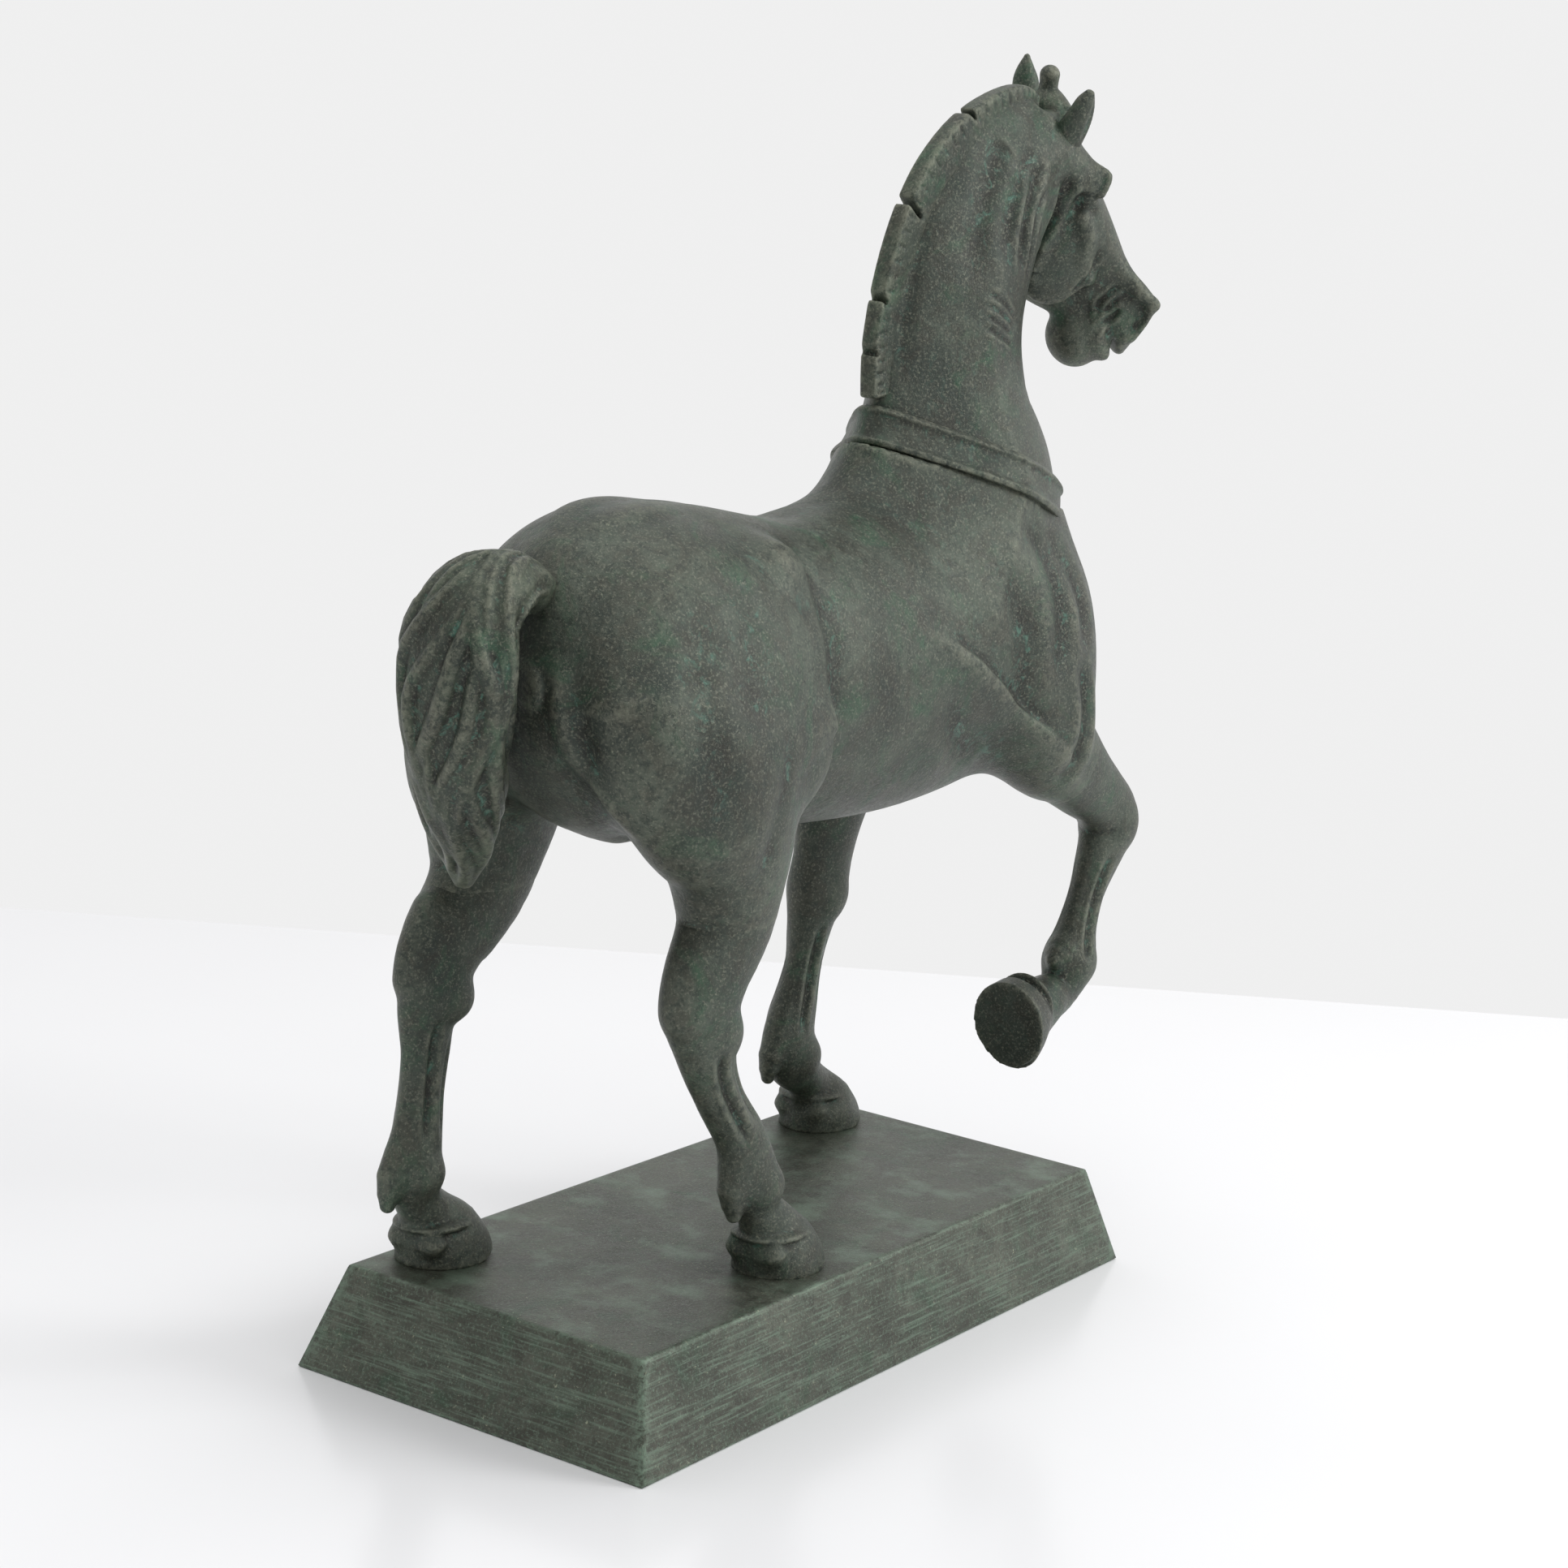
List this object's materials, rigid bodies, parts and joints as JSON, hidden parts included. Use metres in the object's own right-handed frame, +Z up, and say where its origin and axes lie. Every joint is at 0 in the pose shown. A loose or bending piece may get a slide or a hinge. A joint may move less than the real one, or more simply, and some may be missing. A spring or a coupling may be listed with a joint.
{
  "type": "bronze horse statuette",
  "caption": "Patinated bronze statuette of a striding horse with a raised right foreleg, a clipped mane and a collar, on an oblong sloping plinth.",
  "frame": {"origin": "on the surface it stands on, under the middle of the whole statuette's box", "axes": "+X ahead of the horse, +Y its left side, +Z up"},
  "size_m": [0.3112, 0.12, 0.3733],
  "materials": {
    "horse_patina": "dark grey-green patina over cast bronze, semi-gloss, with verdigris in the hollows",
    "hair_patina": "dark green patina with deep brown-black grooves",
    "collar_patina": "dark green patina, worn lighter on its rims",
    "plinth_patina": "satin olive-black patina, brushed, with pale green edges and cream specks",
    "pin_bronze": "plain drawn bronze pins, chased flush",
    "stud_bronze": "plain machined bronze studs, washers and nuts"
  },
  "bodies": {
    "root": {"plinth": "plinth_patina", "body_casting": "horse_patina", "neck_and_head": "horse_patina", "collar": "collar_patina", "tail": "hair_patina", "hind_leg_left": "horse_patina", "hind_leg_right": "horse_patina", "fore_leg_left": "horse_patina", "fore_leg_right": "horse_patina", "leg_pins": "pin_bronze", "neck_pins": "pin_bronze", "tail_pin": "pin_bronze", "hoof_studs": "stud_bronze", "stud_washers": "stud_bronze", "stud_nuts": "stud_bronze"}
  },
  "joints": []
}
